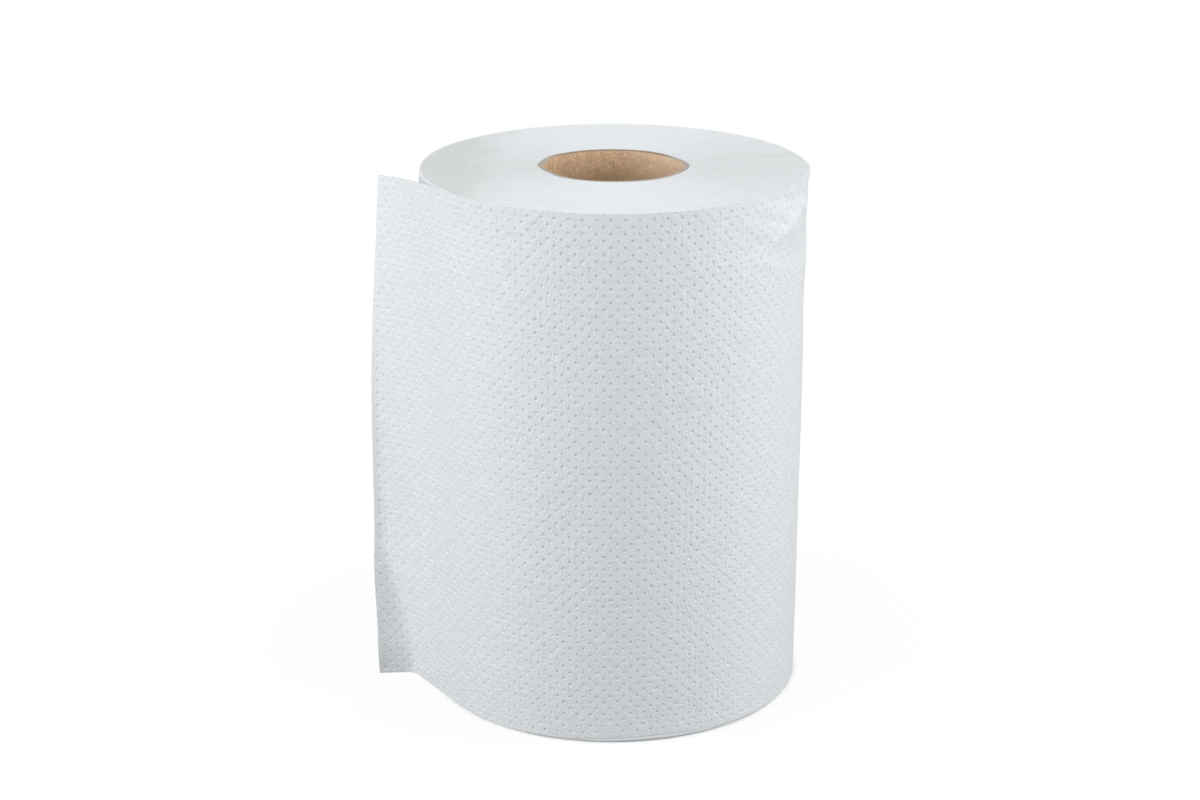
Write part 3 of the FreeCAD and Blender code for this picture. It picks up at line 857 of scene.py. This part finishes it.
def kraft_finish():
    """Board whose tone is half fibre and half flecks. The seam is where height over lead, less the angle
    as a share of a turn, is just past a whole number. The rim's colour takes over near both ends."""
    material, tree, shader = new_material("kraft_board", 0.82, 0.3)
    position = add(tree, "ShaderNodeTexCoord").outputs["Object"]
    x, y, z = add(tree, "ShaderNodeSeparateXYZ", _0=position).outputs
    tone, height = fibre(tree, position, *KRAFT_FIBRE)
    flecks = noise(tree, position, FLECK_SCALE, 2.0, 0.65)
    spread = remap(tree, weigh(tree, 0.5, tone, flecks), KRAFT_LOW, KRAFT_HIGH)
    board = blend_colours(tree, spread, KRAFT_DARK, KRAFT_LIGHT)
    # Painted light: the board is paler towards the right, where the lamps light the bore's wall.
    right = remap(tree, x, 0.0, BORE_RADIUS, kind="SMOOTHSTEP")
    board = blend_colours(tree, work(tree, "MULTIPLY", right, RIGHT_LIGHT_SHARE), board, KRAFT_RIGHT_LIGHT)
    # Painted shade: the board darkens deeper down in the bore.
    deep = remap(tree, z, WIDTH - DEEP_START, WIDTH - DEEP_FULL, kind="SMOOTHSTEP")
    board = blend_colours(tree, work(tree, "MULTIPLY", deep, DEPTH_SHADE_SHARE), board, KRAFT_DEPTH_SHADE)

    angle = work(tree, "DIVIDE", work(tree, "ARCTAN2", y, x), 2 * np.pi)
    climb = work(tree, "SUBTRACT", work(tree, "DIVIDE", z, SEAM_LEAD), angle)
    phase = work(tree, "FRACT", work(tree, "ADD", climb, WHOLE_TURNS))
    gap = work(tree, "LESS_THAN", phase, SEAM_WIDTH / SEAM_LEAD)
    board = blend_colours(tree, gap, board, tuple(SEAM_SHADE * value for value in KRAFT_DARK))

    middle = work(tree, "ABSOLUTE", work(tree, "SUBTRACT", z, WIDTH / 2))
    rim = remap(tree, middle, WIDTH / 2 - RIM_START, WIDTH / 2 - RIM_FULL)
    # Painted shade: the rim turns dark brown at the back.
    back = remap(tree, y, BACK_START * BORE_RADIUS, BACK_FULL * BORE_RADIUS, kind="SMOOTHSTEP")
    board = blend_colours(tree, rim, board, blend_colours(tree, back, RIM_GREY, RIM_BACK_SHADE))
    tree.links.new(board, shader.inputs["Base Color"])
    fuzz = add(tree, "ShaderNodeBump", Strength=0.5, Distance=FUZZ_DEPTH, Height=height)
    tree.links.new(fuzz.outputs["Normal"], shader.inputs["Normal"])
    return material


# %% The core
points, faces = build_core()
make_piece("kraft_core", points, faces, kraft_finish(), "cardboard_core")

# %% [markdown]
# ## Floor, light and camera
# The roll stands on white. It is lit softly from both sides, a little less from the front and from
# behind, and least from above. The floor and the world are white to the camera only, so that the
# background is white without more light on the paper. The floor still keeps a part of the roll's soft
# shadow, and all of it in a narrow ring where it meets the roll.

# %% White floor and world
FLOOR_SIZE = 6.0
FLOOR_BOUNCE = 0.25
SHADOW_SHARE = 0.15
SHADOW_START, SHADOW_REACH = 0.06, 0.20
CONTACT_WIDTH = 2.4 * MM
WORLD_LIGHT = 0.2


def white_floor():
    """Plain floor. The roll gets only FLOOR_BOUNCE of its light back, and the camera sees it as white, less
    the share of the real shading that is kept: a small one near the roll and all of it in the contact
    ring."""
    mesh = bpy.data.meshes.new("floor")
    half = FLOOR_SIZE / 2
    corners = [(-half, -half, 0), (half, -half, 0), (half, half, 0), (-half, half, 0)]
    mesh.from_pydata(corners, [], [(0, 1, 2, 3)])
    floor = bpy.data.objects.new("floor", mesh)
    bpy.context.scene.collection.objects.link(floor)
    material = bpy.data.materials.new("white_floor")
    material.use_nodes = True
    tree = material.node_tree
    tree.nodes.clear()
    path = add(tree, "ShaderNodeLightPath")
    seen = path.outputs["Is Camera Ray"]
    diffuse = add(tree, "ShaderNodeBsdfDiffuse")
    tree.links.new(remap(tree, seen, 0.0, 1.0, FLOOR_BOUNCE, 1.0), diffuse.inputs["Color"])
    distance = vector_work(tree, "LENGTH", add(tree, "ShaderNodeTexCoord").outputs["Object"])
    near = remap(tree, distance, SHADOW_START, SHADOW_REACH, SHADOW_SHARE, 0.0, "SMOOTHSTEP")
    contact = remap(tree, distance, ROLL_RADIUS, ROLL_RADIUS + CONTACT_WIDTH, 1.0, 0.0, "SMOOTHSTEP")
    white = work(tree, "MULTIPLY", seen, work(tree, "SUBTRACT", 1.0, work(tree, "MAXIMUM", near, contact)))
    glow = add(tree, "ShaderNodeEmission", Color=(1, 1, 1, 1), Strength=1.0)
    mix = add(tree, "ShaderNodeMixShader", _0=white, _1=diffuse.outputs[0], _2=glow.outputs[0])
    add(tree, "ShaderNodeOutputMaterial", Surface=mix.outputs[0])
    mesh.materials.append(material)


def white_world():
    """World that looks white to the camera and in reflections, and lights the roll with WORLD_LIGHT."""
    world = bpy.data.worlds.new("studio")
    bpy.context.scene.world = world
    world.use_nodes = True
    tree = world.node_tree
    background = tree.nodes["Background"]
    path = add(tree, "ShaderNodeLightPath").outputs
    mirrored = work(tree, "MAXIMUM", path["Is Glossy Ray"], path["Is Transmission Ray"])
    direct = work(tree, "MAXIMUM", path["Is Camera Ray"], mirrored)
    tree.links.new(remap(tree, direct, 0.0, 1.0, WORLD_LIGHT, 1.0), background.inputs["Strength"])
    background.inputs["Color"].default_value = (1, 1, 1, 1)


white_floor()
white_world()

# %% Soft lamps
LAMPS = (
    # name, place, width, height, watts
    ("left_softbox", (-0.8, -0.3, 0.40), 0.6, 0.7, 4.6),
    ("right_softbox", (0.84, -0.18, 0.40), 0.6, 0.7, 5.0),
    ("front_softbox", (0.0, -1.0, 0.6), 0.9, 0.7, 3.9),
    ("back_softbox", (0.0, 1.0, 0.6), 0.9, 0.7, 3.4),
    ("top_softbox", (0.0, 0.02, 0.8), 0.7, 0.7, 1.35),
)
LAMP_TARGET = Vector((0, 0, 0.1))


def soft_lamp(name, place, width, height, watts):
    """A rectangular area lamp that faces the middle of the roll."""
    light = bpy.data.lights.new(name, "AREA")
    light.shape = "RECTANGLE"
    light.size, light.size_y = width, height
    light.energy = watts
    lamp = bpy.data.objects.new(name, light)
    bpy.context.scene.collection.objects.link(lamp)
    lamp.location = place
    lamp.rotation_euler = (LAMP_TARGET - Vector(place)).to_track_quat("-Z", "Y").to_euler()


for lamp in LAMPS:
    soft_lamp(*lamp)

# %% Camera
EYE = Vector((-4.78, -822.2, 394.56)) * MM
LOOK_AT = Vector((-4.78, 0.0, 108.44)) * MM
LENS_MM = 68.44
SENSOR_MM = 36

camera_data = bpy.data.cameras.new("camera")
camera_data.lens = LENS_MM
camera_data.sensor_width = SENSOR_MM
camera = bpy.data.objects.new("camera", camera_data)
bpy.context.scene.collection.objects.link(camera)
camera.location = EYE
camera.rotation_euler = (LOOK_AT - EYE).to_track_quat("-Z", "Y").to_euler()
bpy.context.scene.camera = camera
bpy.context.scene.view_settings.view_transform = "Standard"
